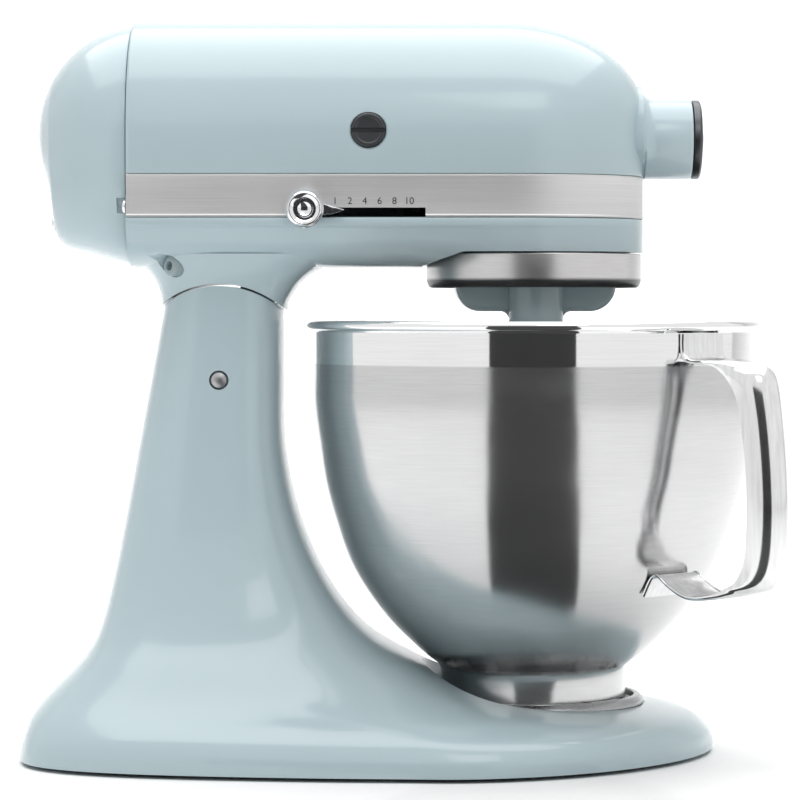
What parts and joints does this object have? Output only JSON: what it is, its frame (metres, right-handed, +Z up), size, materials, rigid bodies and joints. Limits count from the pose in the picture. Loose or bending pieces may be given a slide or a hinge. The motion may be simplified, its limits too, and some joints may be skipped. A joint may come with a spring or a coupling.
{
  "type": "stand mixer",
  "caption": "Tilt-head stand mixer with a steel bowl, planetary drive, flat beater, speed lever and front attachment hub.",
  "frame": {"origin": "on the table, under the middle of the whole mixer", "axes": "+X to the front, where the attachment hub points; +Y to the mixer's left; +Z up"},
  "size_m": [0.3565, 0.2269, 0.3536],
  "materials": {
    "body_paint": "glossy enamel, pale blue-grey",
    "rubber": "matt black",
    "brushed_trim": "fine brushed along its length",
    "bowl_steel": "satin turned, mirror-bright band under the rim",
    "handle_steel": "polished",
    "chrome": "bright",
    "dark_metal": "dark, semi-gloss",
    "machined_steel": "machined",
    "black_plastic": "fine satin",
    "bronze": "machined bronze",
    "copper": "turned copper",
    "lamination": "stacked laminations",
    "carbon": "pressed carbon",
    "nylon": "moulded nylon",
    "board": "circuit board",
    "cast_aluminium": "as cast",
    "beater_coating": "burnished pale grey coating"
  },
  "bodies": {
    "stand": {"pedestal": "body_paint", "foot_1": "rubber", "foot_2": "rubber", "foot_3": "rubber", "foot_4": "rubber", "foot_5": "rubber", "bowl_clamp_plate": "brushed_trim", "plate_screw_1": "machined_steel", "plate_screw_2": "machined_steel", "plate_screw_3": "machined_steel", "hinge_pin": "machined_steel", "hinge_set_screw": "dark_metal", "head_stop_screw": "dark_metal"},
    "bowl": {"bowl": "bowl_steel", "bowl_handle": "handle_steel"},
    "head": {"gear_housing": "body_paint", "motor_housing": "body_paint", "end_cover": "body_paint", "trim_band": "brushed_trim", "band_screw_left": "chrome", "band_screw_right": "chrome", "end_cover_screw": "chrome", "cord_gland": "rubber", "brush_cap_left": "black_plastic", "brush_cap_right": "black_plastic", "brush_holder_left": "black_plastic", "brush_holder_right": "black_plastic", "carbon_brush_left": "carbon", "carbon_brush_right": "carbon", "field_stator": "lamination", "bearing_bracket_front": "cast_aluminium", "bearing_bracket_rear": "cast_aluminium", "control_plate": "nylon", "phase_board": "board", "ring_gear": "machined_steel", "hub_bush": "bronze"},
    "motor": {"armature_core": "lamination", "commutator": "copper", "cooling_fan": "nylon", "motor_shaft": "machined_steel"},
    "intermediate": {"worm_wheel": "bronze", "pinion_shaft": "machined_steel"},
    "planetary": {"planetary_housing": "body_paint", "drip_ring": "brushed_trim", "centre_shaft": "machined_steel", "centre_gear": "machined_steel", "face_gear": "machined_steel"},
    "agitator": {"agitator_shaft": "machined_steel", "agitator_pin": "machined_steel", "planet_pinion": "machined_steel", "flat_beater": "beater_coating"},
    "hub_drive": {"hub_drive_shaft": "machined_steel"},
    "speed_control": {"speed_knob": "chrome", "speed_lever": "dark_metal", "speed_link": "machined_steel"},
    "head_lock": {"head_lock_lever": "chrome"},
    "hub_plug": {"hub_cover": "dark_metal"},
    "attachment_knob": {"attachment_screw": "black_plastic"}
  },
  "joints": [
    {"name": "head_tilt", "type": "hinge", "parent": "stand", "child": "head", "pos_m": [-0.086, 0, 0.181], "axis": [0, -1, 0], "range_deg": [0, 45]},
    {"name": "bowl_twist", "type": "hinge", "parent": "stand", "child": "bowl", "pos_m": [0.065, 0, 0.026], "axis": [0, 0, 1], "range_deg": [0, 30]},
    {"name": "planetary_spin", "type": "hinge", "parent": "head", "child": "planetary", "pos_m": [0.065, 0, 0.23], "axis": [0, 0, 1], "continuous": true},
    {"name": "agitator_spin", "type": "hinge", "parent": "planetary", "child": "agitator", "pos_m": [0.065, -0.0255, 0.2], "axis": [0, 0, 1], "continuous": true},
    {"name": "intermediate_spin", "type": "hinge", "parent": "head", "child": "intermediate", "pos_m": [0.02091, 0.024, 0.28], "axis": [0, 0, 1], "continuous": true},
    {"name": "motor_spin", "type": "hinge", "parent": "head", "child": "motor", "pos_m": [-0.05, 0, 0.298], "axis": [1, 0, 0], "continuous": true},
    {"name": "hub_spin", "type": "hinge", "parent": "head", "child": "hub_drive", "pos_m": [0.11, 0, 0.2968], "axis": [1, 0, 0], "continuous": true},
    {"name": "speed_slide", "type": "slide", "parent": "head", "child": "speed_control", "axis": [1, 0, 0], "range_m": [0, 0.0415]},
    {"name": "lock_slide", "type": "slide", "parent": "head", "child": "head_lock", "axis": [1, 0, 0], "range_m": [0, 0.018]},
    {"name": "hub_cover_slide", "type": "slide", "parent": "head", "child": "hub_plug", "axis": [1, 0, 0], "range_m": [0, 0.01]},
    {"name": "attachment_screw_turn", "type": "hinge", "parent": "head", "child": "attachment_knob", "pos_m": [0.131, 0.02, 0.2968], "axis": [0, 1, 0], "range_deg": [0, 720]}
  ],
  "couplings": [
    {"joint": "agitator_spin", "follows": "planetary_spin", "ratio": -3},
    {"joint": "intermediate_spin", "follows": "planetary_spin", "ratio": -4},
    {"joint": "motor_spin", "follows": "planetary_spin", "ratio": 64},
    {"joint": "hub_spin", "follows": "planetary_spin", "ratio": 2}
  ]
}
